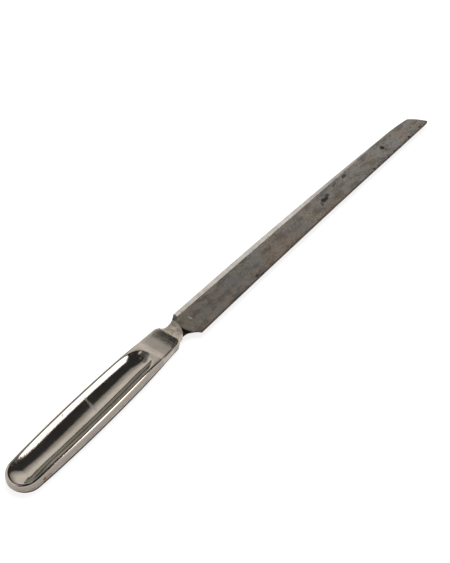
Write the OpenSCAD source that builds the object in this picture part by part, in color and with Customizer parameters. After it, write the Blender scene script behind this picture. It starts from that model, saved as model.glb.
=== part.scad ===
// Surgical knife: a long fixed blade with a sheepsfoot point, set by a stub tang
// in a waisted bolster, with a hollow fluted handle of two pressed half shells.
// Lying flat: +X to the point, +Y to the spine, +Z up, the table at z = 0.

/* [Handle] */
// Length from the butt to the mouth, where the bolster starts
handle_len = 112.1; // [95:0.5:130]
// Width at the widest place
handle_w = 19.8; // [18:0.1:24]
// Distance from the mouth back to the widest place
swell_at = 61; // [50:1:66]
// Thickness over the two rims
handle_t = 7; // [6.6:0.1:9]
// Thickness at the end of the butt
butt_t = 3.6; // [3.4:0.1:5]
// Distance over which the butt thins down
butt_round = 20; // [12:1:26]
// Radius in plan of the corners at the mouth
corner_r = 2.6; // [2:0.1:4]
// Length of those corners
corner_len = 1.9; // [0.5:0.1:2]
// Radius of the shoulder between the side and the rim
shoulder_r = 1.1; // [0.8:0.1:1.3]
// Width of the sloping rim
rim_w = 0.75; // [0.4:0.05:1.2]
// Outward slope of the rim
rim_tilt = 25; // [15:1:35]
// Width of the flat land on top of it
rim_land = 0.3; // [0.2:0.05:0.6]
// Wall of the pressed shells
shell_wall = 0.6; // [0.4:0.05:0.7]
// Thickness of the hard solder between pieces
solder_t = 0.2; // [0.1:0.05:0.3]
// Angle by which the butt drops towards the edge side
droop = 2.2; // [0:0.1:4]

/* [Flute and thumb pad] */
// Depth of the flute below the rim
flute_depth = 2.4; // [1.6:0.1:2.5]
// Steepness of the flute's walls, where 2 gives a plain parabola
flute_curve = 2.4; // [2:0.1:3]
// Share of that depth which the flute loses towards the end of the butt
flute_lift = 0.9; // [0:0.05:1]
// Distance from the mouth back to the nose of the flute
flute_end = 16; // [15:0.5:24]
// Length over which the nose runs out
nose_len = 14.5; // [5:0.5:16]
// Steepness of the nose, where 2 gives a plain parabola
nose_curve = 2.6; // [2:0.1:3]
// Distance from the mouth back to the start of the thumb pad
pad_start = 14.8; // [12:0.2:14.8]
// Length of the step down into the pad
pad_step = 3; // [0.4:0.1:4]
// Depth of the thumb pad below the rim
pad_depth = 0.75; // [0.3:0.05:0.8]
// Length of the fillet that rises from the pad to the mouth
pad_fillet = 6.2; // [3:0.1:7]
// Steepness of that fillet, where 1 gives a straight ramp and 2 a parabola
pad_curve = 1.3; // [1:0.1:2]
// Distance from the mouth back to where the handle has its full thickness
thin_from = 31; // [26:1:50]
// Distance from the mouth back to where the handle has thinned down
thin_to = 7; // [4:0.5:10]

/* [Bolster] */
// Length from the mouth to the front of the bolster
bolster_len = 9; // [8:0.1:11]
// Width where it meets the handle
mouth_w = 13.8; // [12:0.1:16]
// Thickness where it meets the handle
mouth_t = 5.2; // [5:0.1:6]
// Width at the waist
waist_w = 9.8; // [9.2:0.1:11]
// Offset of the waist from the neck's centre, towards the edge
waist_shift = 0.5; // [0:0.1:0.8]
// Thickness at the waist and in front of it
waist_t = 4.2; // [3.8:0.1:5]
// Distance from the mouth to the waist on the spine side
waist_at = 3.9; // [3.6:0.1:6]
// Distance from the mouth to the waist on the edge side
waist_edge_at = 5.2; // [3.6:0.1:6]
// Radius of the rounded front
front_r = 14; // [12:0.1:18]
// Offset of the centre of that rounding from the neck, towards the spine
front_shift = 4.9; // [3:0.1:6]
// Offset of the neck from the blade's centre line, towards the spine
neck_offset = 1.6; // [0.5:0.1:2]
// Length of the two prongs that reach into the handle
prong_len = 9; // [6:0.5:11]
// Width of each prong
prong_w = 2; // [1.2:0.1:2.3]

/* [Blade] */
// Length from the heel corners to the point
blade_len = 215.6; // [140:0.2:260]
// Distance from the bolster's front to the heel corners
shoulder_len = 3.7; // [2.5:0.1:5]
// Width at the heel
heel_w = 18.5; // [17.5:0.1:21]
// Width near the point, before the spine curves down
end_w = 13; // [10:0.1:16]
// Offset of that end from the blade's centre line, towards the spine
end_shift = 0.25; // [0:0.05:0.6]
// Bow of the spine over a straight line
spine_bow = 1.1; // [0:0.05:1.3]
// Bow of the edge inside a straight line
edge_bow = 0.7; // [0:0.05:1]
// Radius of the long arc by which the spine falls towards the clipped end
fall_r = 200; // [120:5:240]
// Angle through which it turns
fall_turn = 8; // [6:0.5:12]
// Angle against the spine at which the clipped end starts
clip_turn = 42; // [30:1:48]
// Radius of the clipped end
end_r = 22; // [8:1:24]
// Angle against the spine at which it ends
end_turn = 64; // [50:1:75]
// Height of the point above the line of the edge
point_rise = 1; // [0.4:0.1:2]
// Length over which the edge rises to the point
point_run = 2.2; // [1:0.1:5]
// Thickness at the heel
heel_t = 3; // [2.4:0.1:3.6]
// Thickness at the point
point_t = 1.3; // [1:0.1:2]
// Thickness of the edge
edge_t = 0.4; // [0.3:0.05:0.6]
// Width of the bevel along the spine, at the heel
bevel_w = 2.8; // [1.5:0.1:3.6]
// Width of that bevel at the point
bevel_end_w = 0.4; // [0.2:0.1:1.5]
// Depth of that bevel at the heel, on each face
bevel_drop = 0.6; // [0.2:0.05:0.9]
// Radius of the arc where the blade's full thickness starts
plunge_r = 11.8; // [10.5:0.1:14]
// Distance from the heel corners to the centre of that arc
plunge_in = 7.7; // [6.5:0.1:9]
// Slope of the surface from the arc down to the shoulders
plunge_slope = 14; // [10:1:20]
// Depth of the shoulders below the blade's faces
shoulder_drop = 0.45; // [0.2:0.05:0.5]

/* [Tang and pins] */
// Reach of the tang into the handle, behind the mouth
tang_len = 12.5; // [8:0.5:13]
// Width of the tang
tang_w = 6.4; // [5:0.1:6.8]
// Thickness of the tang
tang_t = 1.2; // [1:0.05:1.3]
// Clearance round the tang and the prongs
fit_gap = 0.1; // [0.05:0.01:0.15]
// Diameter of the two pins through bolster and tang
pin_d = 1.6; // [1.2:0.1:2]
// Distance from the mouth to the middle of the two pins
pin_at = 4.4; // [4.2:0.1:5]
// Distance between the two pins
pin_pitch = 3.6; // [3:0.1:4.2]
// Depth of the pin ends below the bolster's faces
pin_sink = 0.1; // [0.05:0.05:0.3]

/* [Hidden] */
$fn = 96;

function clamp(t) = max(0, min(1, t));
function mix(a, b, t) = a + (b - a) * t;
function ease(t) = let (c = clamp(t)) c * c * (3 - 2 * c);
// Radius of an arc that has this half chord and this rise
function arc_r(half_chord, rise) = (half_chord * half_chord + rise * rise) / (2 * rise);

// Heights are measured from the mid plane, where the two shells meet
mid_z = handle_t / 2;

// Plan of the handle: two long side arcs that run tangent into a round butt
half_w = handle_w / 2;
function corner(x) = corner_r - sqrt(pow(corner_r, 2) - pow(max(0, x + corner_len), 2));
plan_r = arc_r(swell_at, half_w - mouth_w / 2 - corner(0));
butt_run = handle_len - swell_at;
butt_r = (half_w * (2 * plan_r - half_w) - butt_run * butt_run) / (2 * (plan_r - butt_run));
butt_x = butt_r - handle_len;
turn_at = asin((-swell_at - butt_x) / (plan_r - butt_r));

// Stations along one side: close together at the neck end, then long steps, then round the butt
nose_x = -flute_end - nose_len;
side_end = butt_x - butt_r * sin(turn_at);
long_n = 9;
butt_n = 10;
pad_in = pad_step - pad_start;
stops = [
    for (i = [0:7]) -pad_fillet * i / 7,
    for (i = [1:3]) mix(-pad_fillet, pad_in, i / 3),
    for (i = [1:3]) mix(pad_in, -pad_start, i / 3),
    for (i = [0:8]) nose_x + nose_len * cos(90 * i / 8),
    for (i = [1:long_n]) mix(nose_x, side_end, i / long_n)
];
side_n = len(stops) - 1;
half_n = side_n + butt_n;

function side_y(x, inset) =
    sqrt(pow(plan_r - inset, 2) - pow(x + swell_at, 2)) - (plan_r - half_w) - corner(x);
function side_point(i, inset) =
    let (x = (butt_x - (butt_r - inset) * sin(turn_at)) * stops[i] / side_end) [x, side_y(x, inset)];
function butt_point(i, inset) =
    let (a = mix(90 + turn_at, 180, (i - side_n) / butt_n))
    [butt_x + (butt_r - inset) * cos(a), (butt_r - inset) * sin(a)];
function half_point(i, inset) = i <= side_n ? side_point(i, inset) : butt_point(i, inset);
// Point i of the outline moved in by inset, from the mouth's spine side round the butt and back
function plan_point(i, inset) = i <= half_n ? half_point(i, inset)
    : let (p = half_point(2 * half_n - i, inset)) [p.x, -p.y];
// Inset at which point i reaches the axis
function inset_to_axis(i) = let (j = min(i, 2 * half_n - i))
    j > side_n ? butt_r
    : let (x = butt_x * stops[j] / side_end)
      plan_r - sqrt(pow(x + swell_at, 2) + pow(plan_r - half_w + corner(x), 2));
// Moves a point of the straight handle to where the drooped one has it; the mouth stays square
function placed(x, y) = [x * (1 + y * tan(droop) / handle_len), y + neck_offset + x * tan(droop)];

// How far x is into the butt, from 0 where it starts to 1 at its end, and the handle's half thickness
function butt(x) = 1 - clamp((x + handle_len) / butt_round);
function half_t(x) =
    let (neck = mix(mouth_t, handle_t, ease((-x - thin_to) / (thin_from - thin_to))) / 2)
    min(neck, mix(butt_t, handle_t, sqrt(1 - pow(butt(x), 2))) / 2);

// Depth below the rim: of the pad, which runs out over the sides, and of the flute. f runs across
// the flute from 0 at the land to 1 on the axis.
function drop(x) =
    pad_depth * ease((x + pad_start) / pad_step) * (1 - pow(max(0, 1 + x / pad_fillet), pad_curve));
function nose(x) = clamp((x - nose_x) / nose_len);
function flute(x, f) = flute_depth * (1 - flute_lift * pow(butt(x), 2))
    * max(0, 1 - pow(1 - f, flute_curve) - pow(nose(x), nose_curve));

// Profile of the side over its height z: a flat arc from the seam, the shoulder, then the sloping rim
break_tilt = 80;
rim_z = mid_z - rim_w * sin(rim_tilt);
break_z = rim_z - shoulder_r * (cos(rim_tilt) - cos(break_tilt));
flat_r = break_z / cos(break_tilt);
function side_tilt(z) = z < break_z ? acos(z / flat_r)
    : z < rim_z ? acos(cos(break_tilt) + (z - break_z) / shoulder_r) : rim_tilt;
function side_inset(z) = let (t = side_tilt(z))
    flat_r * (1 - sin(max(t, break_tilt))) + shoulder_r * (sin(break_tilt) - sin(min(t, break_tilt)))
    + max(0, z - rim_z) / tan(rim_tilt);
levels = [0, break_z / 2, break_z, mix(break_z, rim_z, 0.4), mix(break_z, rim_z, 0.75), rim_z, mid_z];
rim_k = len(levels) - 1;

// Point of the shell: ring k counts from the seam up over the rim and down into the flute
across = [0, 0.08, 0.18, 0.31, 0.46, 0.63, 0.81, 0.96];
ring_n = rim_k + len(across);
point_n = 2 * half_n + 1;
function nose_edge(x) = min(0.9, 1 - pow(1 - pow(nose(x), nose_curve), 1 / flute_curve));
function skin_point(k, i, wall) =
    let (x = plan_point(i, 0).x, s = half_t(x) / mid_z, z = levels[min(k, rim_k)] * (1 - drop(x) / half_t(x)),
         t = side_tilt(z), side = side_inset(z) * s + wall * sin(t))
    k <= rim_k
    ? let (p = plan_point(i, side))
      concat(placed(p.x, p.y), [k == 0 ? solder_t / 2 : z * s - wall * cos(t)])
    : let (f = mix(nose_edge(x), 1, across[k - rim_k - 1]), start = side + rim_land,
           p = plan_point(i, mix(start, inset_to_axis(i), f)))
      concat(placed(p.x, p.y), [half_t(p.x) - drop(p.x) - flute(p.x, f) - wall]);

function at(skin, k, i) = (skin * (ring_n + 1) + k) * point_n + i;

// A closed half shell: outer skin, inner skin, the seam face and the mouth face
module half_shell() {
    points = [for (wall = [0, shell_wall]) for (k = [0:ring_n]) for (i = [0:point_n - 1])
        skin_point(k, i, wall)];
    last = point_n - 1;
    grid = [for (k = [0:ring_n - 1]) for (i = [0:last - 1])
        each [[at(0, k, i), at(0, k, i + 1), at(0, k + 1, i + 1)], [at(0, k, i), at(0, k + 1, i + 1), at(0, k + 1, i)],
              [at(1, k, i), at(1, k + 1, i + 1), at(1, k, i + 1)], [at(1, k, i), at(1, k + 1, i), at(1, k + 1, i + 1)]]];
    // Strip along the axis, which joins the two sides of the last ring
    strip = [for (i = [0:half_n - 1]) let (j = last - i)
        each [[at(0, ring_n, i), at(0, ring_n, i + 1), at(0, ring_n, j)],
              [at(1, ring_n, i), at(1, ring_n, j), at(1, ring_n, i + 1)],
              if (i < half_n - 1) [at(0, ring_n, i + 1), at(0, ring_n, j - 1), at(0, ring_n, j)],
              if (i < half_n - 1) [at(1, ring_n, i + 1), at(1, ring_n, j), at(1, ring_n, j - 1)]]];
    seam = [for (i = [0:last - 1])
        each [[at(0, 0, i), at(1, 0, i + 1), at(0, 0, i + 1)], [at(0, 0, i), at(1, 0, i), at(1, 0, i + 1)]]];
    mouth = [for (k = [0:ring_n - 1])
        each [[at(0, k, 0), at(0, k + 1, 0), at(1, k + 1, 0)], [at(0, k, 0), at(1, k + 1, 0), at(1, k, 0)],
              [at(0, k, last), at(1, k + 1, last), at(0, k + 1, last)],
              [at(0, k, last), at(1, k, last), at(1, k + 1, last)]]];
    bridge = [[at(0, ring_n, 0), at(0, ring_n, last), at(1, ring_n, last)],
              [at(0, ring_n, 0), at(1, ring_n, last), at(1, ring_n, 0)]];
    polyhedron(points, concat(grid, strip, seam, mouth, bridge), convexity = 8);
}

// The whole knife moves so that its box is centred on the origin and stands on z = 0
outline_y = [for (i = [0:point_n - 1]) let (p = plan_point(i, 0)) placed(p.x, p.y).y];
heel_x = bolster_len + shoulder_len;
point_x = heel_x + blade_len;
high_y = max(concat(outline_y, [heel_w / 2]));
low_y = min(concat(outline_y, [-heel_w / 2]));
centre = [(point_x - handle_len) / 2, (high_y + low_y) / 2];
module lay() {
    translate([-centre.x, -centre.y, mid_z]) children();
}

// Sides of the neck: an arc from the mouth in to the waist, then one out to the heel corner
function waist_x(side) = side > 0 ? waist_at : waist_edge_at;
function waist_y(side) = neck_offset - waist_shift + side * waist_w / 2;
function neck_arc(side, x) = x < waist_x(side)
    ? arc_r(waist_x(side), side * (neck_offset - waist_y(side)) + mouth_w / 2)
    : arc_r(heel_x - waist_x(side), heel_w / 2 - side * waist_y(side));
function neck_y(x, side) = let (r = neck_arc(side, x))
    waist_y(side) + side * (r - sqrt(r * r - pow(x - waist_x(side), 2)));
function neck_half_t(x) = mix(waist_t, mouth_t, pow(max(0, 1 - x / waist_at), 2)) / 2;

// Round front of the bolster, which stands over the blade's shoulders
module front(h, more = 0) {
    translate([bolster_len - front_r, neck_offset + front_shift, -h / 2]) cylinder(r = front_r + more, h = h);
}

// Section of the neck at x, seen from the blade: the handle's own side profile, flat on both faces
function neck_section(x) =
    let (s = neck_half_t(x) / mid_z,
         quarter = [for (z = levels) [side_inset(z) * s, z * s]])
    [for (k = [0:rim_k]) [neck_y(x, 1) - quarter[k][0], quarter[k][1]],
     for (k = [rim_k:-1:0]) [neck_y(x, -1) + quarter[k][0], quarter[k][1]],
     for (k = [1:rim_k]) [neck_y(x, -1) + quarter[k][0], -quarter[k][1]],
     for (k = [rim_k:-1:1]) [neck_y(x, 1) - quarter[k][0], -quarter[k][1]]];

module neck() {
    m = 4 * rim_k + 2;
    n = 14;
    points = [for (j = [0:n]) let (x = mix(solder_t, bolster_len + 0.2, j / n))
        for (p = neck_section(x)) [x, p.x, p.y]];
    sides = [for (j = [0:n - 1]) for (i = [0:m - 1]) let (a = j * m + i, b = j * m + (i + 1) % m)
        each [[a, a + m, b + m], [a, b + m, b]]];
    polyhedron(points, concat(sides, [[for (i = [0:m - 1]) i]], [[for (i = [m - 1:-1:0]) n * m + i]]),
               convexity = 4);
}

// Room inside the pad, between the two shells
cavity_t = mouth_t - 2 * pad_depth - 2 * shell_wall;
module prongs() {
    for (side = [-1, 1])
        translate([-prong_len, neck_offset + side * (tang_w / 2 + fit_gap + prong_w / 2) - prong_w / 2,
                   fit_gap - cavity_t / 2])
            cube([prong_len + 1, prong_w, cavity_t - 2 * fit_gap]);
}

module tang(gap) {
    translate([-tang_len - gap, neck_offset - tang_w / 2 - gap, -tang_t / 2 - gap])
        cube([tang_len + bolster_len + 2 * gap, tang_w + 2 * gap, tang_t + 2 * gap]);
}

module pins(d, h) {
    for (side = [-1, 1])
        translate([pin_at + side * pin_pitch / 2, neck_offset, -h / 2]) cylinder(d = d, h = h);
}

module bolster() {
    color([0.66, 0.62, 0.56]) lay() difference() {
        union() {
            intersection() {
                neck();
                front(handle_t);
            }
            prongs();
        }
        tang(fit_gap);
        pins(pin_d, handle_t);
    }
}

// Blade blank: a long wedge with a bevel along the spine on both faces
spread = 1.5;
end_top = end_w / 2 + end_shift;
end_low = end_w / 2 - end_shift;
point_y = point_rise - end_low;
fall = [fall_r * sin(fall_turn) + end_r * (sin(end_turn) - sin(clip_turn)),
        fall_r * (1 - cos(fall_turn)) + end_r * (cos(clip_turn) - cos(end_turn))];
curve_x = point_x - fall.x - (end_top - fall.y - point_y) / tan(end_turn);
function spine_y(x) = let (q = (x - heel_x) / (curve_x - heel_x))
    mix(heel_w / 2, end_top, q) + 4 * spine_bow * q * (1 - q);
function edge_y(x) = let (q = (x - heel_x) / blade_len)
    -mix(heel_w / 2, end_low, q) + 4 * edge_bow * q * (1 - q);
function blade_ring(x) =
    let (q = (x - heel_x) / blade_len, t = mix(heel_t, point_t, q) / 2, w = mix(bevel_w, bevel_end_w, q),
         drop = mix(bevel_drop, 0.05, q), spine = mix(heel_w / 2, end_top, q * blade_len / (curve_x - heel_x)),
         out = t - drop * (w + spread) / w, edge = -mix(heel_w / 2, end_low, q))
    [[x, edge, -edge_t / 2], [x, spine - w, -t], [x, spine + spread, -out],
     [x, spine + spread, out], [x, spine - w, t], [x, edge, edge_t / 2]];

module wedge() {
    m = 6;
    points = concat(blade_ring(bolster_len - 6), blade_ring(point_x + 1));
    sides = [for (i = [0:m - 1]) let (n = (i + 1) % m) each [[i, m + n, n], [i, m + i, m + n]]];
    polyhedron(points, concat(sides, [[for (i = [0:m - 1]) i]], [[for (i = [m - 1:-1:0]) m + i]]));
}

// Plan of the blade: the shoulders, the bowed spine and edge, and the clipped sheepsfoot end
module blade_plan() {
    n = 16;
    x0 = bolster_len - 5;
    linear_extrude(height = handle_t, center = true)
        polygon([
            for (i = [0:10]) let (x = mix(x0, heel_x, i / 10)) [x, neck_y(x, 1)],
            for (i = [1:n]) let (x = mix(heel_x, curve_x, i / n)) [x, spine_y(x)],
            for (i = [1:5]) let (a = fall_turn * i / 5)
                [curve_x + fall_r * sin(a), end_top - fall_r * (1 - cos(a))],
            for (i = [1:12]) let (a = mix(clip_turn, end_turn, i / 12))
                [curve_x + fall.x - end_r * (sin(end_turn) - sin(a)),
                 end_top - fall.y + end_r * (cos(a) - cos(end_turn))],
            [point_x, point_y],
            for (i = [0:n]) let (x = mix(point_x - point_run, heel_x, i / n)) [x, edge_y(x)],
            for (i = [1:10]) let (x = mix(heel_x, x0, i / 10)) [x, neck_y(x, -1)]
        ]);
}

// Cut on one face between the bolster and the full thickness. It lies along that face: a floor
// over the shoulders, then the cone up to the plunge arc.
plunge_x = heel_x + plunge_in;
face_ring = blade_ring(plunge_x);
face_slope = atan((face_ring[4].z - face_ring[5].z) / (face_ring[4].y - face_ring[5].y));
module heel_relief() {
    over = 1;
    translate([plunge_x, 0, face_ring[5].z - face_ring[5].y * tan(face_slope)]) rotate([face_slope, 0, 0])
        difference() {
            translate([-plunge_x, -heel_w, -shoulder_drop]) cube([plunge_x, 2 * heel_w, shoulder_drop + over]);
            translate([0, 0, -shoulder_drop])
                cylinder(r1 = plunge_r + shoulder_drop / tan(plunge_slope),
                         r2 = plunge_r - over / tan(plunge_slope), h = shoulder_drop + over);
        }
}

module blade() {
    color([0.42, 0.4, 0.38]) lay() difference() {
        union() {
            difference() {
                intersection() {
                    wedge();
                    blade_plan();
                }
                front(handle_t);
                heel_relief();
                mirror([0, 0, 1]) heel_relief();
            }
            intersection() {
                tang(0);
                front(handle_t, 0.3);
            }
        }
        pins(pin_d, handle_t);
    }
}

module handle_shell_upper() {
    color([0.8, 0.78, 0.74]) lay() half_shell();
}

module handle_shell_lower() {
    color([0.78, 0.76, 0.72]) lay() mirror([0, 0, 1]) half_shell();
}

module seam_solder() {
    color([0.76, 0.72, 0.6]) lay() linear_extrude(height = solder_t, center = true)
        polygon(concat([for (i = [0:point_n - 1]) let (p = plan_point(i, 0)) placed(p.x, p.y)],
            [for (i = [point_n - 1:-1:0]) let (p = plan_point(i, shell_wall)) placed(p.x, p.y)]));
}

module mouth_solder() {
    color([0.76, 0.72, 0.6]) lay() difference() {
        rotate([90, 0, 90]) linear_extrude(height = solder_t) polygon(neck_section(0));
        tang(fit_gap);
        prongs();
    }
}

module tang_pins() {
    color([0.6, 0.58, 0.54]) lay() pins(pin_d, waist_t - 2 * pin_sink);
}

blade();
bolster();
handle_shell_upper();
handle_shell_lower();
seam_solder();
mouth_solder();
tang_pins();
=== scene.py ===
import math

import bmesh
import bpy
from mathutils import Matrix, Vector


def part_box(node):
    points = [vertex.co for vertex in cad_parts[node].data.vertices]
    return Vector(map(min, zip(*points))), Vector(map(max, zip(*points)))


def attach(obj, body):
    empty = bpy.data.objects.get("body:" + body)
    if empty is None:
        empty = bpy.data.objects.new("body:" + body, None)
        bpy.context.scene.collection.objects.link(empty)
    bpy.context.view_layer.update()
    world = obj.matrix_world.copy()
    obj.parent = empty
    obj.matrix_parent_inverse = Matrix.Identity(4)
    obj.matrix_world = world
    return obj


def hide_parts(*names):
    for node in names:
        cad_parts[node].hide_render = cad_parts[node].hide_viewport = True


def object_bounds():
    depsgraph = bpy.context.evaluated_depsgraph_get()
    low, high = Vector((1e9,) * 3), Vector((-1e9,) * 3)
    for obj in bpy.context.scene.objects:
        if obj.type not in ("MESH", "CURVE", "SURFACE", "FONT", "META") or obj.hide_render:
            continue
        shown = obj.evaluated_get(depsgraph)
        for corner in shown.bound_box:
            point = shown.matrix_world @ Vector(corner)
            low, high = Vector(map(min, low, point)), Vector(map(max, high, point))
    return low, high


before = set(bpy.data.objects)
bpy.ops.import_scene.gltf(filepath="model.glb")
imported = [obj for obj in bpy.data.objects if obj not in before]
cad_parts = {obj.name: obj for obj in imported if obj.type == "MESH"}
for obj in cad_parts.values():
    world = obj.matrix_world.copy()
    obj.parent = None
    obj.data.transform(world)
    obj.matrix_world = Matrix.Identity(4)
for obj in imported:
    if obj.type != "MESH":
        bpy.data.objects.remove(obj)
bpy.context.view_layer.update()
scene = bpy.context.scene


# Modelling helpers

mergeDistance = 2e-6    # joins the loose triangles of a CAD node


def deselectAll():
    if bpy.context.object and bpy.context.object.mode != "OBJECT":
        bpy.ops.object.mode_set(mode="OBJECT")
    bpy.ops.object.select_all(action="DESELECT")


def pick(piece):
    deselectAll()
    piece.select_set(True)
    bpy.context.view_layer.objects.active = piece


def editWhole(piece, operator, **values):
    # runs one edit-mode operator on the whole mesh
    pick(piece)
    bpy.ops.object.mode_set(mode="EDIT")
    bpy.ops.mesh.select_all(action="SELECT")
    operator(**values)
    bpy.ops.mesh.select_all(action="DESELECT")
    bpy.ops.object.mode_set(mode="OBJECT")


def mergedCopy(nodeName, pieceName):
    # the CAD node keeps its own mesh, the piece starts as a copy with its loose triangles merged
    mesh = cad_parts[nodeName].data.copy()
    mesh.name = pieceName
    piece = bpy.data.objects.new(pieceName, mesh)
    scene.collection.objects.link(piece)
    mesh.materials.clear()
    editWhole(piece, bpy.ops.mesh.remove_doubles, threshold=mergeDistance)
    return piece


def applyModifier(piece, kind, **values):
    pick(piece)
    modifier = piece.modifiers.new(kind.title(), kind)
    for key, value in values.items():
        setattr(modifier, key, value)
    bpy.ops.object.modifier_apply(modifier=modifier.name)


def creaseSharpEdges(piece, sharpAngle, amount):
    limit = math.cos(math.radians(sharpAngle))
    bm = bmesh.new()
    bm.from_mesh(piece.data)
    layer = bm.edges.layers.float.new("crease_edge")
    for edge in bm.edges:
        if len(edge.link_faces) == 2 and edge.link_faces[0].normal.dot(edge.link_faces[1].normal) < limit:
            edge[layer] = amount
    bm.to_mesh(piece.data)
    bm.free()


def roundEdges(piece, values):
    applyModifier(piece, "BEVEL", width=values["edgeRadius"], segments=values["segments"],
                  limit_method="ANGLE", angle_limit=math.radians(values["bevelAngle"]),
                  use_clamp_overlap=True)


def shadeSmooth(piece, angle):
    pick(piece)
    bpy.ops.object.shade_smooth_by_angle(angle=math.radians(angle))


# Handle: two pressed shells, smoothed from the solids' grid

shellValues = {
    "quadFaceAngle": 60,      # degrees up to which two triangles join to a four-sided face
    "quadShapeAngle": 100,
    "subdivisions": 2,
    "sharpAngle": 60,         # edges sharper than this are creased
    "seamCrease": 0.75,       # outer edge at the seam and round the mouth
    "smoothAngle": 50,
}


def buildShell(nodeName, pieceName):
    v = shellValues
    piece = mergedCopy(nodeName, pieceName)
    editWhole(piece, bpy.ops.mesh.tris_convert_to_quads, face_threshold=math.radians(v["quadFaceAngle"]),
              shape_threshold=math.radians(v["quadShapeAngle"]))
    creaseSharpEdges(piece, v["sharpAngle"], v["seamCrease"])
    applyModifier(piece, "SUBSURF", levels=v["subdivisions"], render_levels=v["subdivisions"])
    shadeSmooth(piece, v["smoothAngle"])
    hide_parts(nodeName)
    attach(piece, "root")
    return piece


shellUpper = buildShell("handle_shell_upper", "platedShellUpper")
shellLower = buildShell("handle_shell_lower", "platedShellLower")
print("handle shells built")


# Bolster: a copy of the solid with its edges rounded

bolsterValues = {
    "edgeRadius": 0.00022,
    "segments": 3,
    "bevelAngle": 28,
    "smoothAngle": 35,
}


def buildBolster():
    piece = mergedCopy("bolster", "waistedBolster")
    roundEdges(piece, bolsterValues)
    shadeSmooth(piece, bolsterValues["smoothAngle"])
    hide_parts("bolster")
    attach(piece, "root")
    return piece


bolster = buildBolster()
print("bolster built")


# Blade: a copy of the solid with its edges eased

bladeValues = {
    "length": 0.2156,         # from the heel's corners to the point
    "flatAngle": 0.4,         # faces within this angle join
    "edgeRadius": 0.00012,
    "segments": 2,
    "bevelAngle": 9,
    "smoothAngle": 30,
}


def buildBlade():
    piece = mergedCopy("blade", "forgedBlade")
    editWhole(piece, bpy.ops.mesh.dissolve_limited, angle_limit=math.radians(bladeValues["flatAngle"]))
    roundEdges(piece, bladeValues)
    shadeSmooth(piece, bladeValues["smoothAngle"])
    applyModifier(piece, "WEIGHTED_NORMAL", keep_sharp=True)
    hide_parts("blade")
    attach(piece, "root")
    return piece


blade = buildBlade()
print("blade built")


# Shader helpers: a value may be a number, a colour or another node's socket

def feed(tree, value, socket):
    if isinstance(value, bpy.types.NodeSocket):
        tree.links.new(value, socket)
    elif isinstance(value, tuple) and len(value) == 3 and socket.type == "RGBA":
        socket.default_value = (*value, 1)
    elif value is not None:
        socket.default_value = value


def calc(tree, kind, *values, clamp=False):
    node = tree.nodes.new("ShaderNodeMath")
    node.operation = kind
    node.use_clamp = clamp
    for value, socket in zip(values, node.inputs):
        feed(tree, value, socket)
    return node.outputs[0]


def times(tree, first, second):
    return calc(tree, "MULTIPLY", first, second)


def minus(tree, first, second):
    return calc(tree, "SUBTRACT", first, second)


def absolute(tree, value):
    return calc(tree, "ABSOLUTE", value)


def sumOf(tree, first, *others):
    for value in others:
        first = calc(tree, "ADD", first, value)
    return first


def largest(tree, first, *others):
    for value in others:
        first = calc(tree, "MAXIMUM", first, value)
    return first


def weighted(tree, first, amounts, masks):
    # first plus each named mask times its amount
    for name, amount in amounts.items():
        first = calc(tree, "ADD", first, times(tree, masks[name], amount))
    return first


def roughened(tree, value, noise, amount):
    # moves the value up and down with a noise round 0.5
    return calc(tree, "MULTIPLY_ADD", minus(tree, noise, 0.5), amount, value)


def fade(tree, value, low, high):
    # soft step from 0 at low to 1 at high, where low may be the larger
    node = tree.nodes.new("ShaderNodeMapRange")
    node.interpolation_type = "SMOOTHSTEP"
    for number, socket in zip((value, low, high), node.inputs):
        feed(tree, number, socket)
    return node.outputs[0]


def between(tree, value, low, high, soft):
    return times(tree, fade(tree, value, low - soft, low + soft), fade(tree, value, high + soft, high - soft))


def blendColours(tree, factor, first, second):
    node = tree.nodes.new("ShaderNodeMix")
    node.data_type = "RGBA"
    for value, socket in zip((factor, first, second), (node.inputs[0], node.inputs[6], node.inputs[7])):
        feed(tree, value, socket)
    return node.outputs[2]


def vectorCalc(tree, kind, first, second):
    node = tree.nodes.new("ShaderNodeVectorMath")
    node.operation = kind
    feed(tree, first, node.inputs[0])
    feed(tree, second, node.inputs[1])
    return node.outputs["Value"] if kind in ("LENGTH", "DOT_PRODUCT", "DISTANCE") else node.outputs["Vector"]


def packVector(tree, x, y, z):
    node = tree.nodes.new("ShaderNodeCombineXYZ")
    for value, socket in zip((x, y, z), node.inputs):
        feed(tree, value, socket)
    return node.outputs[0]


def split(tree, vector):
    node = tree.nodes.new("ShaderNodeSeparateXYZ")
    tree.links.new(vector, node.inputs[0])
    return node.outputs


def geometry(tree, output):
    return tree.nodes.new("ShaderNodeNewGeometry").outputs[output]


def turned(tree, vector, angle):
    node = tree.nodes.new("ShaderNodeVectorRotate")
    node.rotation_type = "Z_AXIS"
    feed(tree, vector, node.inputs["Vector"])
    feed(tree, angle, node.inputs["Angle"])
    return node.outputs[0]


def cloud(tree, vector, scale, detail, roughness):
    node = tree.nodes.new("ShaderNodeTexNoise")
    feed(tree, vector, node.inputs["Vector"])
    feed(tree, scale, node.inputs["Scale"])
    node.inputs["Detail"].default_value = detail
    node.inputs["Roughness"].default_value = roughness
    return node.outputs[0]


def newGroup(name, inputs, output):
    # inputs are name: default, where a default of three numbers makes a vector socket
    group = bpy.data.node_groups.new(name, "ShaderNodeTree")
    for label, value in inputs.items():
        kind = "NodeSocketVector" if isinstance(value, tuple) else "NodeSocketFloat"
        group.interface.new_socket(name=label, in_out="INPUT", socket_type=kind).default_value = value
    group.interface.new_socket(name=output, in_out="OUTPUT", socket_type="NodeSocketFloat")
    given = group.nodes.new("NodeGroupInput").outputs
    return group, given, group.nodes.new("NodeGroupOutput").inputs[output]


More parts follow.
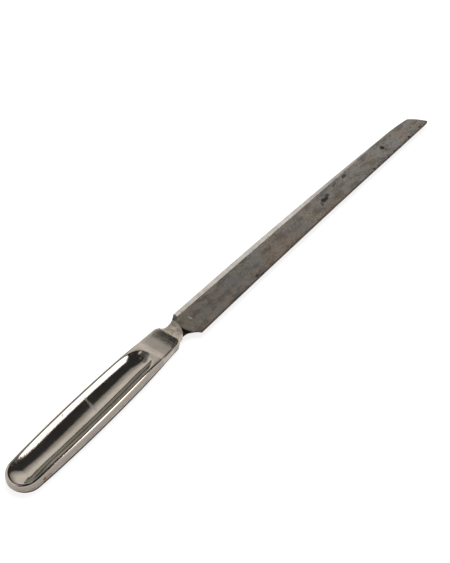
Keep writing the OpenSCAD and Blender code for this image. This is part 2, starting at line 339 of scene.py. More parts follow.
def use(tree, group, **values):
    # places a group in a material; a keyword is the socket's name
    node = tree.nodes.new("ShaderNodeGroup")
    node.node_tree = group
    for label, value in values.items():
        feed(tree, value, node.inputs[label])
    return node.outputs[0]


# Surface effects that the metals share, each a node group built once

def makeMottle():
    # a broad cloud with a finer one on it, round 0.5
    finer, fineShare, gain = 6.3, 0.4, 2.4
    tree, given, result = newGroup("surfaceMottle", {"Vector": (0, 0, 0), "Size": 0.01, "Contrast": 1.0},
                                   "Value")
    scale = calc(tree, "DIVIDE", 1.0, given["Size"])
    broad = cloud(tree, given["Vector"], scale, detail=4, roughness=0.6)
    fine = cloud(tree, given["Vector"], times(tree, scale, finer), detail=3, roughness=0.6)
    both = sumOf(tree, minus(tree, broad, 0.5), times(tree, minus(tree, fine, 0.5), fineShare))
    value = calc(tree, "MULTIPLY_ADD", both, times(tree, given["Contrast"], gain), 0.5, clamp=True)
    tree.links.new(value, result)
    return tree


def makeScratches():
    # long thin marks that run along Turn; Amount lowers the noise level from which they show
    highest, drop, soft = 0.76, -0.22, 0.08
    tree, given, result = newGroup("fineScratches", {"Vector": (0, 0, 0), "Turn": 0.0, "Length": 0.02,
                                                     "Spacing": 0.0003, "Amount": 0.5}, "Mask")
    along = turned(tree, given["Vector"], times(tree, given["Turn"], -1.0))
    across = calc(tree, "DIVIDE", 1.0, given["Spacing"])
    squeeze = packVector(tree, calc(tree, "DIVIDE", 1.0, given["Length"]), across, across)
    lines = cloud(tree, vectorCalc(tree, "MULTIPLY", along, squeeze), 1.0, detail=1.5, roughness=0.5)
    low = calc(tree, "MULTIPLY_ADD", given["Amount"], drop, highest)
    tree.links.new(fade(tree, lines, low, calc(tree, "ADD", low, soft)), result)
    return tree


def makePits():
    # round pits of uneven size, one to a cell, of which Coverage are open
    cells, grains = 0.6, 2.0                    # to the length of Size
    smallest, spread, ragged = 0.2, 0.24, 0.3
    fullyOpen, fullyDeep = 0.6, 0.45            # shares of the coverage and of the reach
    tree, given, result = newGroup("smallPits", {"Vector": (0, 0, 0), "Size": 0.001, "Coverage": 0.3}, "Mask")
    node = tree.nodes.new("ShaderNodeTexVoronoi")
    rough = cloud(tree, given["Vector"], calc(tree, "DIVIDE", grains, given["Size"]), detail=2, roughness=0.6)
    tree.links.new(given["Vector"], node.inputs["Vector"])
    tree.links.new(calc(tree, "DIVIDE", cells, given["Size"]), node.inputs["Scale"])
    chance = split(tree, node.outputs["Color"])
    opened = fade(tree, chance[0], given["Coverage"], times(tree, given["Coverage"], fullyOpen))
    reach = calc(tree, "MULTIPLY_ADD", chance[1], spread, smallest)
    away = roughened(tree, node.outputs["Distance"], rough, ragged)
    hole = fade(tree, away, reach, times(tree, reach, fullyDeep))
    tree.links.new(times(tree, hole, opened), result)
    return tree


def makeSpot():
    # one mark of its own length, width and turn, with a ragged edge, that reaches Depth into the metal
    outside, inside, grains, raggedGain = 1.15, 0.6, 2.2, 2.0
    tree, given, result = newGroup("placedSpot", {"Vector": (0, 0, 0), "Centre": (0, 0, 0), "Turn": 0.0,
                                                  "Length": 0.002, "Width": 0.001, "Depth": 0.0015,
                                                  "Ragged": 0.6}, "Mask")
    away = turned(tree, vectorCalc(tree, "SUBTRACT", given["Vector"], given["Centre"]),
                  times(tree, given["Turn"], -1.0))
    size = packVector(tree, times(tree, given["Length"], 0.5), times(tree, given["Width"], 0.5),
                      given["Depth"])
    far = vectorCalc(tree, "LENGTH", vectorCalc(tree, "DIVIDE", away, size), None)
    rough = cloud(tree, given["Vector"], calc(tree, "DIVIDE", grains, given["Width"]), detail=3,
                  roughness=0.6)
    far = roughened(tree, far, rough, times(tree, given["Ragged"], raggedGain))
    tree.links.new(fade(tree, far, outside, inside), result)
    return tree


def makeEdgeWear():
    # bright where an edge sticks out, broken up by a fine cloud
    samples, grains, leanSpan, brokenSpan = 6, 900.0, (0.01, 0.12), (0.3, 0.6)
    tree, given, result = newGroup("edgeWear", {"Vector": (0, 0, 0), "Radius": 0.0004, "Amount": 0.5}, "Mask")
    node = tree.nodes.new("ShaderNodeBevel")
    node.samples = samples
    tree.links.new(given["Radius"], node.inputs["Radius"])
    lean = minus(tree, 1.0, vectorCalc(tree, "DOT_PRODUCT", node.outputs[0], geometry(tree, "Normal")))
    rough = cloud(tree, given["Vector"], grains, detail=3, roughness=0.6)
    worn = times(tree, fade(tree, lean, *leanSpan), fade(tree, rough, *brokenSpan))
    tree.links.new(calc(tree, "MULTIPLY", worn, given["Amount"], clamp=True), result)
    return tree


mottle, scratches, pits = makeMottle(), makeScratches(), makePits()
spot, edgeWear = makeSpot(), makeEdgeWear()


def newMaterial(name):
    material = bpy.data.materials.new(name)
    material.use_nodes = True
    tree = material.node_tree
    place = tree.nodes.new("ShaderNodeTexCoord").outputs["Object"]
    return material, tree, place, tree.nodes["Principled BSDF"].inputs


def spotMasks(tree, place, marks, origin, depth=0.0015):
    # marks are name: (x, y, length, width, turn in degrees, ragged, strength), in millimetres from origin
    total = 0.0
    for x, y, length, width, turn, ragged, strength in marks.values():
        centre = (origin[0] + x / 1000, origin[1] + y / 1000, origin[2])
        mask = use(tree, spot, Vector=place, Centre=centre, Turn=math.radians(turn), Length=length / 1000,
                   Width=width / 1000, Depth=depth, Ragged=ragged)
        total = largest(tree, total, times(tree, mask, strength))
    return total


def finishMetal(tree, shader, values, colour, masks):
    # lays the tints over the colour in their order, then mixes metallic, roughness and bump from the masks;
    # the heights are in metres
    for name, (amount, tone) in values["tints"].items():
        colour = blendColours(tree, times(tree, masks[name], amount), colour, tone)
    tree.links.new(colour, shader["Base Color"])
    shader["Metallic"].default_value = 1
    if values["dulling"]:
        dull = weighted(tree, 0.0, values["dulling"], masks)
        tree.links.new(calc(tree, "SUBTRACT", 1.0, dull, clamp=True), shader["Metallic"])
    rough = weighted(tree, values["roughness"], values["roughening"], masks)
    tree.links.new(calc(tree, "MINIMUM", rough, values["roughest"]), shader["Roughness"])
    bump = tree.nodes.new("ShaderNodeBump")
    bump.inputs["Strength"].default_value = 1.0
    bump.inputs["Distance"].default_value = 1.0
    tree.links.new(weighted(tree, 0.0, values["heights"], masks), bump.inputs["Height"])
    tree.links.new(bump.outputs[0], shader["Normal"])


def dress(piece, material):
    piece.data.materials.clear()
    piece.data.materials.append(material)


# Nickel plate of the handle

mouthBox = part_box("mouth_solder")
mouthX = mouthBox[0][0]
mouthMiddle = mouthBox[0][1] / 2 + mouthBox[1][1] / 2
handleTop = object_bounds()[1][2]
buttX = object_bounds()[0][0]

plateValues = {
    "cleanColour": (0.56, 0.51, 0.445),
    "dullColour": (0.45, 0.405, 0.345),
    "tints": {                 # strength and colour of each layer
        "side": (0.9, (0.262, 0.232, 0.205)),     # painted shade that darkens the upright sides, which are also a little rougher
        "contactShade": (0.9, (0.03, 0.026, 0.022)),     # painted contact shadow, near-black low on the upright walls
        "pad": (0.6, (0.58, 0.53, 0.465)),
        "padCloud": (0.5, (0.4, 0.37, 0.33)),
        "brushed": (0.35, (0.36, 0.325, 0.28)),
        "scuff": (0.7, (0.5, 0.48, 0.45)),
        "pitsAndShade": (1.0, (0.09, 0.075, 0.065)),
        "worn": (0.4, (0.62, 0.58, 0.52)),
        "rust": (1.0, (0.2, 0.075, 0.025)),
    },
    "dulling": {"bareAndShade": 0.85},
    "roughness": 0.055,        # of clean plate
    "roughening": {"fine": 0.04, "pad": 0.3, "scuff": 0.38, "hairlines": 0.12, "side": 0.08, "streaks": 0.16,
                   "haze": 0.03, "bareAndShade": 0.6},
    "roughest": 0.85,
    "heights": {"wave": 2e-5, "lines": -4e-7, "brushed": -3e-6, "pitsAndShade": -2e-5, "rust": 1.5e-5,
                "scuff": -6e-6},
    "broad": {"Size": 0.016, "Contrast": 1.0},
    "fine": {"Size": 0.0016, "Contrast": 1.2},
    "wave": {"Size": 0.012, "Contrast": 0.7},     # the slow dents of pressed sheet
    "padMottle": {"Size": 0.005, "Contrast": 1.4},
    "padCloudSpan": (0.3, 0.9),        # levels of a cloud between which a mask fades in
    "hazeSpan": (0.4, 0.8),
    "lines": {"Turn": 0.03, "Length": 0.02, "Spacing": 0.00022, "Amount": 0.45},
    "cross": {"Turn": 1.2, "Length": 0.006, "Spacing": 0.0003, "Amount": 0.25},
    "brush": {"Turn": 1.5, "Length": 0.009, "Spacing": 0.00035, "Amount": 0.9},
    "wear": {"Radius": 0.0005, "Amount": 0.6},
    "sideFlatness": (0.72, 0.3),       # upright share of the normal, between which each mask fades in
    "wallFlatness": (0.84, 0.76),
    "contactShadeHeight": (0.003, 0.0021),
    "padFrom": 0.0142,         # back from the mouth
    "padTo": 0.0056,
    "padSoft": 0.0006,
    "padRagged": 0.0006,
    "filletFrom": 0.0054,
    "filletSoft": 0.0012,
    "filletPast": 0.0001,
    "filletBrush": 0.9,
    "darkBare": 0.5,
    "markDepth": 0.0012,       # of the marks' centres below the top
    "scuffReach": 0.004,
    "darkReach": 0.003,
    # places are from the butt's end and the mouth's middle line
    "scuffs": {
        "stripe": (55.8, -0.6, 1.7, 9.8, -10, 0.3, 0.7),
        "stripeHaze": (55.8, -1.6, 4.0, 7.0, -10, 0.8, 0.22),
        "smudge": (42.2, 4.6, 2.2, 0.9, 20, 0.7, 0.6),
        "nick": (23.4, -11.4, 1.2, 0.5, 0, 0.3, 0.9),
        "lineBreak": (44.3, -6.0, 1.6, 0.8, 30, 0.5, 0.6),
        "nosePatch": (94.5, 0.3, 4.0, 4.2, 20, 0.2, 0.5),
    },
    # dark marks: painted shade at the flute's nose and along the pad's lip, with small pits
    "darkMarks": {
        "noseSpot": (92.0, 0.6, 1.3, 1.1, 0, 0.4, 0.9),
        "noseCorner": (92.1, -2.2, 4.0, 2.6, 10, 0.2, 0.75),
        "padMark": (94.9, -3.9, 0.9, 0.5, 0, 0.6, 0.7),
        "rimPit": (70.0, 9.4, 0.8, 0.4, 0, 0.5, 0.5),
        "padLip": (102.4, -7.75, 11.2, 0.85, 5, 0.2, 1.0),
        "padLipOn": (108.7, -6.85, 5.2, 0.9, 17, 0.2, 1.0),
    },
    "rust": {
        "buttRust": (12.4, -12.3, 2.6, 3.0, 0, 0.6, 1.0),
        "buttStain": (14.0, -12.3, 6.0, 3.0, 0, 1.0, 0.5),
    },
}


def makePlate():
    v = plateValues
    material, tree, place, shader = newMaterial("wornNickelPlate")
    places = split(tree, place)
    x, z = places[0], places[2]
    flatness = absolute(tree, split(tree, geometry(tree, "Normal"))[2])
    # painted shade: the upright sides darker than the top
    side = fade(tree, flatness, *v["sideFlatness"])
    # painted contact shadow: the low upright walls go near-black and non-metal
    contactShade = times(tree, fade(tree, z, *v["contactShadeHeight"]), fade(tree, flatness, *v["wallFlatness"]))
    broad = use(tree, mottle, Vector=place, **v["broad"])
    fine = use(tree, mottle, Vector=place, **v["fine"])
    wave = use(tree, mottle, Vector=place, **v["wave"])
    lines = use(tree, scratches, Vector=place, **v["lines"])
    cross = use(tree, scratches, Vector=place, **v["cross"])
    brush = use(tree, scratches, Vector=place, **v["brush"])
    worn = use(tree, edgeWear, Vector=place, **v["wear"])
    origin = (buttX, mouthMiddle, handleTop - v["markDepth"])
    scuff = spotMasks(tree, place, v["scuffs"], origin, v["scuffReach"])
    # painted shade and pits
    pitsAndShade = spotMasks(tree, place, v["darkMarks"], origin, v["darkReach"])
    rust = spotMasks(tree, place, v["rust"], (buttX, mouthMiddle, handleTop / 2))

    # The thumb pad, and the hollow rise from it to the mouth
    pad = between(tree, roughened(tree, x, fine, v["padRagged"]), mouthX - v["padFrom"], mouthX - v["padTo"],
                  v["padSoft"])
    padMottle = use(tree, mottle, Vector=place, **v["padMottle"])
    padCloud = times(tree, pad, fade(tree, padMottle, *v["padCloudSpan"]))
    filletStart = mouthX - v["filletFrom"]
    fillet = times(tree, fade(tree, x, filletStart - v["padSoft"], filletStart + v["padSoft"]),
                   fade(tree, x, mouthX + v["filletPast"], mouthX - v["filletSoft"]))
    brushed = times(tree, brush, largest(tree, pad, times(tree, fillet, v["filletBrush"])))

    colour = blendColours(tree, broad, v["dullColour"], v["cleanColour"])
    finishMetal(tree, shader, v, colour, {
        "side": side, "contactShade": contactShade, "pad": pad, "padCloud": padCloud, "brushed": brushed, "scuff": scuff,
        "pitsAndShade": pitsAndShade, "worn": worn, "rust": rust, "fine": fine, "wave": wave, "lines": lines,
        "hairlines": largest(tree, lines, cross),
        "streaks": times(tree, brush, fillet),
        "haze": fade(tree, broad, *v["hazeSpan"]),
        # rust, the dark marks and the painted contact shadow are made less metal
        "bareAndShade": sumOf(tree, largest(tree, rust, times(tree, pitsAndShade, v["darkBare"])), contactShade),
    })
    return material


# Old polished steel of the blade

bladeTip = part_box("blade")[1][0]
bladeHeel = bladeTip - bladeValues["length"]
bladeMiddle = (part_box("blade")[0][1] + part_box("blade")[1][1]) / 2
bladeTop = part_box("blade")[1][2]
steelShade = (0.155, 0.138, 0.122)

steelValues = {
    "warmColour": (0.41, 0.34, 0.285),
    "coolColour": (0.33, 0.325, 0.32),
    "tints": {
        "olive": (0.7, (0.34, 0.315, 0.245)),
        "cloudy": (0.7, steelShade),
        "fine": (0.42, steelShade),
        "lines": (0.26, (0.44, 0.41, 0.38)),
        "cross": (0.32, (0.44, 0.42, 0.39)),
        "bevel": (0.75, (0.71, 0.672, 0.625)),      # painted reflection on the spine's bevel, from the heel on
        "stain": (0.6, (0.2, 0.1, 0.055)),
        "worn": (0.35, (0.5, 0.46, 0.42)),
        "bright": (0.8, (0.75, 0.72, 0.68)),
        "edgeShadeLine": (0.8, (0.085, 0.075, 0.066)),
        "reliefShade": (0.92, (0.02, 0.018, 0.016)),     # painted shade between the bolster and the full thickness
        "pit": (1.0, (0.012, 0.011, 0.01)),
    },
    "dulling": {"crustAndShade": 0.95, "bevel": 0.55},
    "roughness": 0.3,
    "roughening": {"fine": 0.12, "second": 0.08, "crustAndShade": 0.4, "bevel": -0.1},
    "roughest": 0.9,
    "heights": {"wave": 2.2e-5, "fine": 2.5e-6, "lines": -1.2e-6, "cross": -1.5e-6, "pit": -7e-5},
    "broad": {"Size": 0.02, "Contrast": 1.1},
    "second": {"Size": 0.009, "Contrast": 1.3},
    "secondShift": (3.1, 1.7, 0.4),
    "fine": {"Size": 0.0013, "Contrast": 1.5},
    "wave": {"Size": 0.014, "Contrast": 0.7},
    "cloudy": {"Size": 0.0045, "Contrast": 1.5},
    "cloudyStretch": (0.45, 1, 1),
    "warmSpan": (0.2, 0.8),            # levels of a cloud between which a mask fades in
    "oliveSpan": (0.3, 0.8),
    "cloudySpan": (0.35, 0.95),
    "edgeStainSpan": (0.45, 0.75),
    "lines": {"Turn": 0.0, "Length": 0.03, "Spacing": 0.00025, "Amount": 0.75},
    "cross": {"Turn": 1.1, "Length": 0.012, "Spacing": 0.0004, "Amount": 0.3},
    "wear": {"Radius": 0.0004, "Amount": 0.6},
    "pointStart": 0.06,        # ahead of the heel, from where the pits grow denser
    "edgeStart": 0.002,        # from the middle line towards the edge
    "edgeFull": 0.0075,
    "coverage": 0.08,          # share of open pits, and what the point and the edge add to it
    "coverageMore": {"toPoint": 0.14, "toEdge": 0.3, "both": 0.5},
    "pitSize": 0.0012,
    "tinySize": 0.00045,
    "tinyMore": 0.06,
    "seededShare": 0.75,
    "edgeStain": 0.5,
    "stainCrust": 0.4,
    "markDepth": 0.0007,       # of the marks' centres below the top
    "wedgeReach": 0.004,
    "reliefIn": 0.0077,        # centre of the arc where it ends, from the heel
    "reliefRadius": 0.0118,
    "reliefSoft": 0.0003,
    "reliefFull": 0.004,
    "choilFrom": 0.0006,       # the steep walls behind the heel, which get the painted shade too
    "choilTo": -0.0004,
    "choilFlatness": (0.8, 0.5),
    "edgeWidth": (0.00091, 0.00035),
    "edgeRagged": 0.0006,
    "edgeHalfHeel": 0.00925,
    "edgeHalfPoint": 0.00625,
    "edgeBow": 0.0007,
    "bevelLean": (0.09, 0.13),
    "bevelPatches": 0.4,
    "bevelEnd": 0.02,          # back from the point
    "bevelFull": 0.09,         # ahead of the heel
    # places are from the point, backwards, and from the middle line
    "pits": {
        "largest": (-96.6, 0.7, 7.0, 3.3, 0, 0.75, 1.0),
        "besideIt": (-93.0, 1.6, 3.6, 2.6, 20, 0.7, 0.95),
        "belowIt": (-100.3, -0.6, 4.2, 2.2, 35, 0.8, 0.8),
        "speck": (-88.5, 0.8, 1.3, 1.0, 0, 0.7, 0.6),
        "upperStreak": (-83.3, 3.7, 6.0, 1.6, 18, 0.8, 0.7),
        "upperSpot": (-73.4, 3.9, 5.0, 2.6, 10, 0.8, 0.9),
        "midSpot": (-38.4, 1.2, 3.4, 3.6, 8, 0.3, 1.0),
        "midSpotTail": (-38.2, -1.3, 1.6, 2.2, 0, 0.4, 0.8),
        "faintUpper": (-60.8, 3.6, 3.0, 1.2, 0, 0.9, 0.35),
        "faintRight": (-48.5, 2.4, 2.6, 1.6, 40, 0.9, 0.35),
        "faintLower": (-49.8, -3.5, 1.6, 1.2, 0, 0.9, 0.4),
        "nearPoint": (-26.4, 3.6, 2.4, 1.5, 0, 0.8, 0.5),
        "heelEdgeA": (-167.0, -6.6, 3.4, 2.2, 30, 0.8, 0.9),
        "heelEdgeB": (-164.2, -7.6, 3.4, 1.8, 0, 0.8, 0.9),
        "heelEdgeC": (-172.4, -4.8, 2.0, 1.3, 0, 0.8, 0.6),
        "lowDotA": (-155.6, -6.8, 2.0, 1.3, 0, 0.8, 0.6),
        "lowDotB": (-149.8, -5.8, 1.8, 1.4, 0, 0.8, 0.5),
        "lowDotC": (-139.5, -6.0, 2.4, 1.3, 10, 0.8, 0.6),
        "lowDotD": (-112.4, -5.9, 2.2, 1.5, 0, 0.8, 0.7),
        "edgeA": (-56.8, -5.6, 2.4, 1.7, 0, 0.8, 0.96),
        "edgeB": (-52.9, -5.9, 2.2, 1.7, 0, 0.8, 0.84),
        "edgeC": (-45.6, -4.9, 2.0, 1.4, 20, 0.8, 0.6),
        "edgeD": (-42.9, -6.1, 2.4, 1.5, 0, 0.8, 0.96),
        "edgeE": (-36.3, -5.8, 2.2, 1.5, 0, 0.8, 0.84),
        "edgeF": (-31.2, -6.2, 2.3, 1.7, 0, 0.8, 0.96),
        "edgeG": (-25.5, -5.9, 2.3, 1.5, 0, 0.8, 0.84),
        "edgeH": (-19.9, -5.3, 3.0, 2.0, 15, 0.8, 1.0),
        "edgeI": (-7.9, -4.9, 2.7, 1.5, 0, 0.8, 0.96),
        "point": (-1.2, -5.1, 2.0, 1.4, 0, 0.6, 0.9),
    },
    "stains": {
        "stroke": (-104.9, -1.4, 5.0, 1.0, 35, 0.9, 0.6),
        "lowStroke": (-113.7, -4.7, 2.4, 1.2, 0, 0.9, 0.6),
        "lowBand": (-168.0, -3.6, 30.0, 1.0, 0, 1.2, 0.4),
        "lowBandOn": (-144.0, -3.1, 24.0, 1.1, 0, 1.2, 0.5),
        "edgeRust": (-128.4, -5.9, 3.6, 1.8, 0, 0.9, 0.8),
        "edgeRustOn": (-120.0, -5.6, 6.0, 1.6, 0, 1.1, 0.5),
        "underLargest": (-97.0, -2.6, 9.0, 2.2, -20, 1.2, 0.4),
        "nearEnd": (-20.0, -1.0, 14.0, 5.0, 0, 1.3, 0.35),
    },
    # painted shade in the upper shoulder
    "wedge": {
        "upperWedge": (-216.7, 7.2, 2.7, 5.4, -24, 0.1, 1.0),
    },
    "brightNicks": {
        "heelNick": (-212.2, 1.0, 1.1, 2.8, 8, 0.5, 0.9),
        "endSpot": (-11.8, 2.6, 1.8, 1.0, 30, 0.7, 0.45),
    },
}


def makeSteel():
    v = steelValues
    material, tree, place, shader = newMaterial("oldBladeSteel")
    x, y = split(tree, place)[:2]
    lean, faceUp = split(tree, geometry(tree, "True Normal"))[1:3]
    shifted = vectorCalc(tree, "ADD", place, v["secondShift"])
    stretched = vectorCalc(tree, "MULTIPLY", place, v["cloudyStretch"])
    broad = use(tree, mottle, Vector=place, **v["broad"])
    second = use(tree, mottle, Vector=shifted, **v["second"])
    fine = use(tree, mottle, Vector=place, **v["fine"])
    wave = use(tree, mottle, Vector=place, **v["wave"])
    cloudy = use(tree, mottle, Vector=stretched, **v["cloudy"])
    lines = use(tree, scratches, Vector=place, **v["lines"])
    cross = use(tree, scratches, Vector=place, **v["cross"])
    worn = use(tree, edgeWear, Vector=place, **v["wear"])
    origin = (bladeTip, bladeMiddle, bladeTop - v["markDepth"])

    # Pits and stains, denser towards the point and the edge
    toPoint = fade(tree, x, bladeHeel + v["pointStart"], bladeTip)
    toEdge = fade(tree, y, bladeMiddle - v["edgeStart"], bladeMiddle - v["edgeFull"])
    coverage = weighted(tree, v["coverage"], v["coverageMore"],
                        {"toPoint": toPoint, "toEdge": toEdge, "both": times(tree, toEdge, toPoint)})
    seeded = use(tree, pits, Vector=place, Size=v["pitSize"], Coverage=coverage)
    tinyCoverage = calc(tree, "ADD", coverage, v["tinyMore"])
    tiny = use(tree, pits, Vector=place, Size=v["tinySize"], Coverage=tinyCoverage)
    pit = largest(tree, spotMasks(tree, place, v["pits"], origin),
                  times(tree, largest(tree, seeded, tiny), v["seededShare"]))
    edgeStain = times(tree, times(tree, toEdge, fade(tree, second, *v["edgeStainSpan"])), v["edgeStain"])
    stain = largest(tree, spotMasks(tree, place, v["stains"], origin), edgeStain)
    bright = spotMasks(tree, place, v["brightNicks"], origin)

    # Painted shade beyond the round plunge, on the steep walls behind the heel and in the upper shoulder
    arc = packVector(tree, bladeHeel + v["reliefIn"], bladeMiddle, 0.0)
    fromArc = vectorCalc(tree, "DISTANCE", vectorCalc(tree, "MULTIPLY", place, (1, 1, 0)), arc)
    plunge = times(tree, fade(tree, fromArc, v["reliefRadius"], v["reliefRadius"] + v["reliefSoft"]),
                   fade(tree, x, bladeHeel + v["reliefIn"], bladeHeel + v["reliefFull"]))
    choil = times(tree, fade(tree, absolute(tree, faceUp), *v["choilFlatness"]),
                  fade(tree, x, bladeHeel + v["choilFrom"], bladeHeel + v["choilTo"]))
    wedge = spotMasks(tree, place, v["wedge"], origin, v["wedgeReach"])

    # Painted shade: a dark line along the cutting edge, which bows a little inside a straight line
    along = calc(tree, "DIVIDE", minus(tree, x, bladeHeel), bladeTip - bladeHeel)
    bow = times(tree, times(tree, along, minus(tree, 1.0, along)), 4 * v["edgeBow"])
    half = calc(tree, "MULTIPLY_ADD", along, v["edgeHalfPoint"] - v["edgeHalfHeel"], v["edgeHalfHeel"])
    overEdge = sumOf(tree, y, minus(tree, half, bow), -bladeMiddle)
    edgeShadeLine = fade(tree, roughened(tree, overEdge, fine, v["edgeRagged"]), *v["edgeWidth"])

    # Painted reflection: the bevel along the spine leans towards it, which picks it out on both faces
    bevel = times(tree, fade(tree, lean, *v["bevelLean"]),
                  fade(tree, x, bladeTip - v["bevelEnd"], bladeHeel + v["bevelFull"]))
    bevel = times(tree, bevel, calc(tree, "MULTIPLY_ADD", second, v["bevelPatches"], 1.0 - v["bevelPatches"]))

    colour = blendColours(tree, fade(tree, broad, *v["warmSpan"]), v["coolColour"], v["warmColour"])
    finishMetal(tree, shader, v, colour, {
        "fine": fine, "second": second, "wave": wave, "lines": lines, "cross": cross, "bevel": bevel,
        "stain": stain, "worn": worn, "bright": bright, "edgeShadeLine": edgeShadeLine, "pit": pit,
        "olive": fade(tree, second, *v["oliveSpan"]),
        "cloudy": fade(tree, cloudy, *v["cloudySpan"]),
        "reliefShade": largest(tree, plunge, choil, wedge),
        # pits, stains and the painted shade of the shoulder lose metal and roughen
        "crustAndShade": largest(tree, pit, wedge, times(tree, stain, v["stainCrust"])),
    })
    return material


# Tarnished cast metal of the bolster, and the pins that it hides

castShade = (0.32, 0.28, 0.23)

bolsterMetalValues = {
    "lightColour": (0.73, 0.655, 0.56),
    "darkColour": castShade,
    "tints": {
        "fine": (0.35, castShade),
        "lines": (0.2, (0.62, 0.57, 0.5)),
        "worn": (0.5, (0.66, 0.6, 0.52)),
        "pit": (0.85, (0.1, 0.08, 0.065)),
    },
    "dulling": {"pit": 0.4},
    "roughness": 0.34,
    "roughening": {"fine": 0.16, "pit": 0.25},
    "roughest": 0.9,
    "heights": {"broad": 9e-5, "fine": 1.6e-5, "pit": -6e-5, "lines": -2e-6},
    "broad": {"Size": 0.0035, "Contrast": 1.5},
    "fine": {"Size": 0.0008, "Contrast": 1.5},
    "lines": {"Turn": 1.4, "Length": 0.005, "Spacing": 0.00025, "Amount": 0.6},
    "wear": {"Radius": 0.0004, "Amount": 0.7},
    "pitSize": 0.0008,
    "pitCoverage": 0.6,
    "largerPits": 2.1,         # times the size of the small ones
    "largerShare": 0.5,        # times their coverage
}
pinMetalValues = {**bolsterMetalValues, "pitSize": 0.0004, "pitCoverage": 0.5}


def makeCastMetal(name, values):
    material, tree, place, shader = newMaterial(name)
    broad = use(tree, mottle, Vector=place, **values["broad"])
    small = use(tree, pits, Vector=place, Size=values["pitSize"], Coverage=values["pitCoverage"])
    larger = use(tree, pits, Vector=place, Size=values["pitSize"] * values["largerPits"],
                 Coverage=values["pitCoverage"] * values["largerShare"])
    colour = blendColours(tree, broad, values["darkColour"], values["lightColour"])
    finishMetal(tree, shader, values, colour, {
        "broad": broad,
        "fine": use(tree, mottle, Vector=place, **values["fine"]),
        "lines": use(tree, scratches, Vector=place, **values["lines"]),
        "worn": use(tree, edgeWear, Vector=place, **values["wear"]),
        "pit": largest(tree, small, larger),
    })
    return material


# Hard solder of the two joints: a drawn, slightly yellow line with flux stains

solderValues = {
    "lightColour": (0.56, 0.5, 0.4),
    "stainColour": (0.25, 0.2, 0.14),
    "tints": {"lines": (0.3, (0.68, 0.63, 0.52))},
    "dulling": {},
    "roughness": 0.22,
    "roughening": {"fine": 0.2},
    "roughest": 0.9,
    "heights": {"fine": 4e-6, "lines": -2e-6},
    "broad": {"Size": 0.004, "Contrast": 1.6},
    "stainSpan": (0.35, 0.8),
    "fine": {"Size": 0.0005, "Contrast": 1.3},
    "lines": {"Turn": 0.4, "Length": 0.003, "Spacing": 0.00015, "Amount": 0.8},
}


def makeSolder():
    v = solderValues
    material, tree, place, shader = newMaterial("filedHardSolder")
    broad = use(tree, mottle, Vector=place, **v["broad"])
    colour = blendColours(tree, fade(tree, broad, *v["stainSpan"]), v["lightColour"], v["stainColour"])
    finishMetal(tree, shader, v, colour, {
        "fine": use(tree, mottle, Vector=place, **v["fine"]),
        "lines": use(tree, scratches, Vector=place, **v["lines"]),
    })
    return material


plate, steel, solder = makePlate(), makeSteel(), makeSolder()
castMetal = makeCastMetal("tarnishedBolsterMetal", bolsterMetalValues)
pinMetal = makeCastMetal("tarnishedPinSteel", pinMetalValues)
for piece, material in ((shellUpper, plate), (shellLower, plate), (blade, steel), (bolster, castMetal)):
    dress(piece, material)
for nodeName, material in (("seam_solder", solder), ("mouth_solder", solder), ("tang_pins", pinMetal)):
    dress(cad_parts[nodeName], material)
print("materials made")


# Floor, light and camera

studio = {
    "floorSize": 6.0,
    "floorColour": (0.36, 0.36, 0.36),
    "floorRoughness": 0.8,
    "floorGlow": 0.76,           # lifts the floor to white in the picture and in the metal
    "brightWall": (0.92, 0.9, 0.88),
    "dimWall": (0.42, 0.41, 0.4),
    "wallDim": (38.0, 52.0),     # elevations in degrees between which the walls dim
    "roomTurn": 45.0,            # the way that the camera looks, roughly
    "aheadSpan": (150.0, 90.0),  # degrees away from it, between which what lies ahead fades in
    "ceiling": (0.042, 0.042, 0.043),
    "ceilingRise": (51.0, 56.0),
    "ceilingTilt": 0.11,         # degrees by which the ceiling's edge rises for each degree of turn
    "ceilingTiltEnd": 70.0,
    "ceilingBehind": (0.4, 0.395, 0.39),   # the lower part of the ceiling behind the camera
    "behindRise": (62.0, 67.0),
    "skylight": (0.85, 0.85, 0.84),        # straight above
    "skylightRise": (82.0, 87.0),
    "screen": (0.3, 0.31, 0.29),   # grey screen low down behind the knife
    "screenTurn": 66.0,
    "screenHalf": 11.0,
    "screenSideSoft": 3.0,
    "screenTop": 27.0,
    "screenTopSoft": 1.5,
    "screenLine": 3.0,             # dark line along its top
    "screenLineSoft": 1.0,
    "skirtTop": 7.0,               # dark skirting below the screen
    "skirtSoft": 2.0,
    "keyTurn": -40.0,              # bright window high up to the right
    "keyHeight": 49.5,
    "keyTilt": 0.28,               # degrees by which it rises for each degree of turn
    "keyHalfTurn": 4.5,            # across, in degrees on the sky
    "keySoftTurn": 6.0,
    "keyHalfHeight": 5.0,
    "keySoftHeight": 2.5,
    "keyGlow": 3.2,
    "lampTurn": 30.0,
    "lampHeight": 70.0,
    "lampAway": 1.2,
    "lampSize": 0.7,
    "lampPower": 9.0,
    "cameraPlace": (-0.379045, -0.285608, 0.457016),
    "cameraTilt": 46.0,
    "cameraTurn": -51.78,
    "cameraNearest": 0.01,
    "viewAngle": 20.0,
}


def buildFloor():
    deselectAll()
    bpy.ops.mesh.primitive_plane_add(size=studio["floorSize"], location=(0, 0, 0))
    floor = bpy.context.object
    floor.name = "paleFloor"
    material, tree, _, shader = newMaterial("paleFloor")
    shader["Base Color"].default_value = (*studio["floorColour"], 1)
    shader["Roughness"].default_value = studio["floorRoughness"]
    shader["Specular IOR Level"].default_value = 0
    shader["Emission Color"].default_value = (1, 1, 1, 1)
    rays = tree.nodes.new("ShaderNodeLightPath").outputs
    seen = largest(tree, rays["Is Camera Ray"], rays["Is Glossy Ray"], rays["Is Transmission Ray"])
    tree.links.new(times(tree, seen, studio["floorGlow"]), shader["Emission Strength"])
    dress(floor, material)
    return floor


floor = buildFloor()


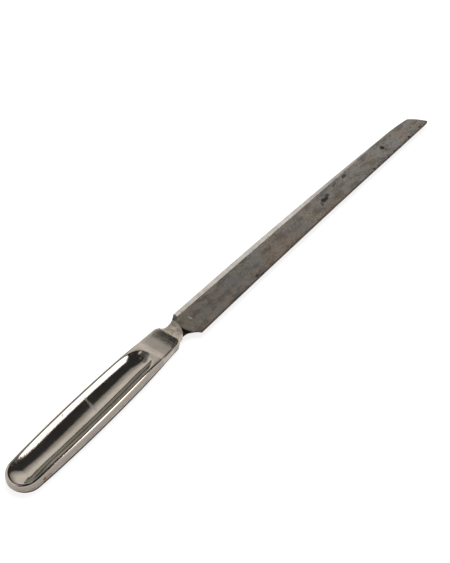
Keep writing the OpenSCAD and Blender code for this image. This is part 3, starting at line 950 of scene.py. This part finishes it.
def buildWorld():
    # a pale room: walls that dim upwards to a dark ceiling, with one grey screen low down behind the knife
    world = bpy.data.worlds.new("studio")
    scene.world = world
    world.use_nodes = True
    tree = world.node_tree
    toward = split(tree, tree.nodes.new("ShaderNodeTexCoord").outputs["Generated"])
    height = times(tree, calc(tree, "ARCSINE", toward[2]), 180 / math.pi)
    around = times(tree, calc(tree, "ARCTAN2", toward[1], toward[0]), 180 / math.pi)
    ahead = fade(tree, absolute(tree, minus(tree, around, studio["roomTurn"])), *studio["aheadSpan"])
    tiltTurn = minus(tree, calc(tree, "MINIMUM", around, studio["ceilingTiltEnd"]), studio["roomTurn"])
    tilt = times(tree, tiltTurn, studio["ceilingTilt"])
    risen = minus(tree, height, times(tree, tilt, ahead))

    wall = blendColours(tree, fade(tree, risen, *studio["wallDim"]), studio["brightWall"], studio["dimWall"])
    darkOverhead = largest(tree, ahead, fade(tree, height, *studio["behindRise"]))
    ceiling = blendColours(tree, darkOverhead, studio["ceilingBehind"], studio["ceiling"])
    ceiling = blendColours(tree, fade(tree, height, *studio["skylightRise"]), ceiling, studio["skylight"])
    colour = blendColours(tree, fade(tree, risen, *studio["ceilingRise"]), wall, ceiling)

    # The screen, with a dark line along its top and dark skirting below
    off = absolute(tree, minus(tree, around, studio["screenTurn"]))
    screenSide = fade(tree, off, studio["screenHalf"] + studio["screenSideSoft"], studio["screenHalf"])
    screenMask = times(tree, screenSide,
                       fade(tree, height, studio["screenTop"] + studio["screenTopSoft"], studio["screenTop"]))
    lineFrom = studio["screenTop"] - studio["screenLine"]
    lineMask = times(tree, screenMask, fade(tree, height, lineFrom - studio["screenLineSoft"], lineFrom))
    skirtMask = times(tree, screenSide,
                      fade(tree, height, studio["skirtTop"] + studio["skirtSoft"], studio["skirtTop"]))
    colour = blendColours(tree, screenMask, colour, studio["screen"])
    colour = blendColours(tree, lineMask, colour, studio["ceiling"])
    colour = blendColours(tree, skirtMask, colour, studio["ceiling"])

    # The window, with soft edges
    beside = minus(tree, around, studio["keyTurn"])
    fromKey = absolute(tree, times(tree, beside, math.cos(math.radians(studio["keyHeight"]))))
    aboveKey = calc(tree, "MULTIPLY_ADD", beside, -studio["keyTilt"],
                    minus(tree, height, studio["keyHeight"]))
    acrossKey = fade(tree, fromKey, studio["keyHalfTurn"] + studio["keySoftTurn"], studio["keyHalfTurn"])
    upKey = fade(tree, absolute(tree, aboveKey), studio["keyHalfHeight"] + studio["keySoftHeight"],
                 studio["keyHalfHeight"])
    colour = blendColours(tree, times(tree, acrossKey, upKey), colour, (studio["keyGlow"],) * 3)
    tree.links.new(colour, tree.nodes["Background"].inputs["Color"])


def addLamp():
    # overhead, for the floor and the dull metal; polished metal doesn't show it
    turn, tall = math.radians(studio["lampTurn"]), math.radians(studio["lampHeight"])
    way = Vector((math.cos(tall) * math.cos(turn), math.cos(tall) * math.sin(turn), math.sin(tall)))
    deselectAll()
    bpy.ops.object.light_add(type="AREA", location=way * studio["lampAway"],
                             rotation=way.to_track_quat("Z", "Y").to_euler())
    lamp = bpy.context.object
    lamp.name = "overheadLamp"
    lamp.data.size = studio["lampSize"]
    lamp.data.energy = studio["lampPower"]
    lamp.visible_glossy = False


def addCamera():
    tilt, turn = math.radians(studio["cameraTilt"]), math.radians(studio["cameraTurn"])
    bpy.ops.object.camera_add(location=studio["cameraPlace"], rotation=(tilt, 0, turn))
    camera = bpy.context.object
    camera.data.sensor_fit = "HORIZONTAL"
    camera.data.angle = math.radians(studio["viewAngle"])
    camera.data.clip_start = studio["cameraNearest"]
    scene.camera = camera


buildWorld()
addLamp()
addCamera()
scene.view_settings.view_transform = "Standard"
print("studio set")
